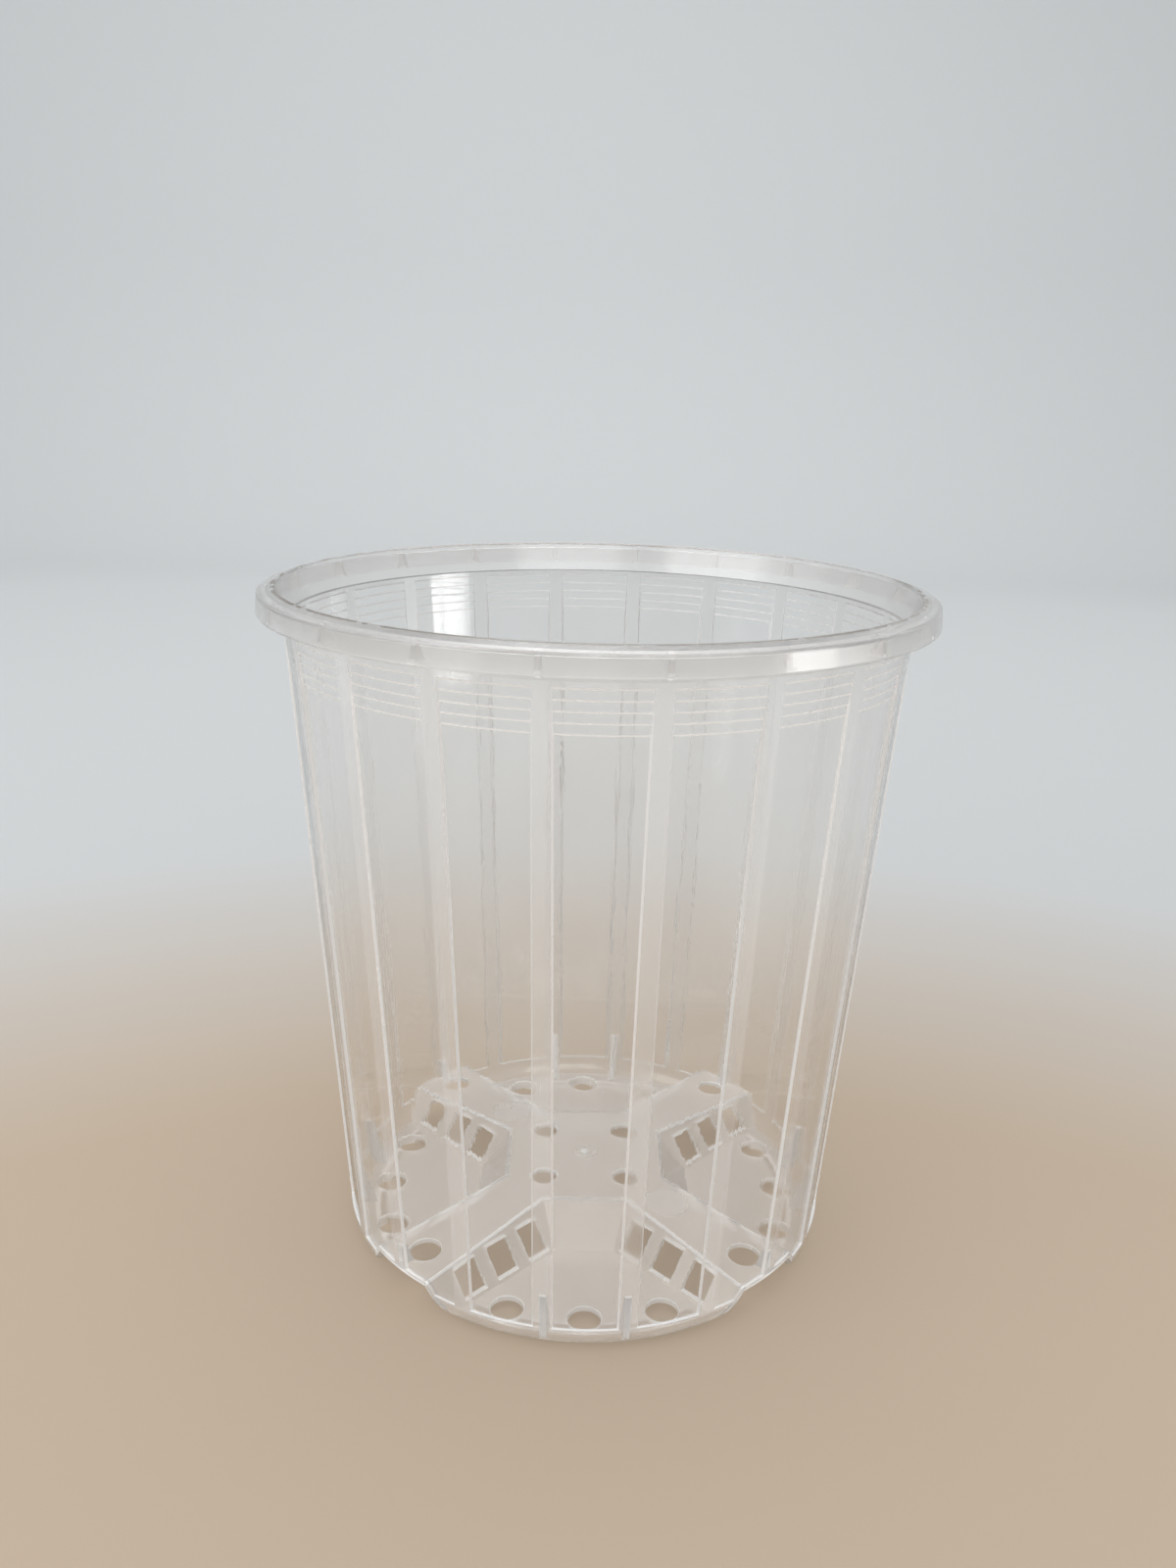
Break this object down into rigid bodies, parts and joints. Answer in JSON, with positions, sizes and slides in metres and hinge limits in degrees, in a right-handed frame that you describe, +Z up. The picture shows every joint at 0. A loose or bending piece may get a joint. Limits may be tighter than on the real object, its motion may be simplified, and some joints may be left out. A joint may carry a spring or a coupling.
{
  "type": "orchid pot",
  "caption": "Clear round orchid pot with a milky rim, ribbed tapering wall and a raised slotted cross in its base for air and drainage.",
  "frame": {"origin": "on the ground under the middle of the pot", "axes": "+Z up along the pot's axis, -Y towards the front sector of the base"},
  "size_m": [0.15, 0.15, 0.1593],
  "materials": {
    "clear_plastic": "clear, thin, slightly milky, glossy moulded plastic",
    "milky_rim": "thicker, milkier, satin moulded plastic"
  },
  "bodies": {
    "root": {"arm_deck_back_left": "clear_plastic", "arm_deck_back_right": "clear_plastic", "arm_deck_front_left": "clear_plastic", "arm_deck_front_right": "clear_plastic", "gusset_ribs": "clear_plastic", "platform": "clear_plastic", "platform_riser_back": "clear_plastic", "platform_riser_front": "clear_plastic", "platform_riser_left": "clear_plastic", "platform_riser_right": "clear_plastic", "rim_collar": "milky_rim", "rim_flange": "milky_rim", "rim_skirt": "milky_rim", "rim_webs": "milky_rim", "sector_floor_back": "clear_plastic", "sector_floor_front": "clear_plastic", "sector_floor_left": "clear_plastic", "sector_floor_right": "clear_plastic", "slotted_riser_back_left_left": "clear_plastic", "slotted_riser_back_left_right": "clear_plastic", "slotted_riser_back_right_left": "clear_plastic", "slotted_riser_back_right_right": "clear_plastic", "slotted_riser_front_left_left": "clear_plastic", "slotted_riser_front_left_right": "clear_plastic", "slotted_riser_front_right_left": "clear_plastic", "slotted_riser_front_right_right": "clear_plastic", "wall_bay_01": "clear_plastic", "wall_bay_02": "clear_plastic", "wall_bay_03": "clear_plastic", "wall_bay_04": "clear_plastic", "wall_bay_05": "clear_plastic", "wall_bay_06": "clear_plastic", "wall_bay_07": "clear_plastic", "wall_bay_08": "clear_plastic", "wall_bay_09": "clear_plastic", "wall_bay_10": "clear_plastic", "wall_bay_11": "clear_plastic", "wall_bay_12": "clear_plastic", "wall_bay_13": "clear_plastic", "wall_bay_14": "clear_plastic", "wall_bay_15": "clear_plastic", "wall_bay_16": "clear_plastic", "wall_bay_17": "clear_plastic", "wall_bay_18": "clear_plastic", "wall_bay_19": "clear_plastic", "wall_bay_20": "clear_plastic"}
  },
  "joints": []
}
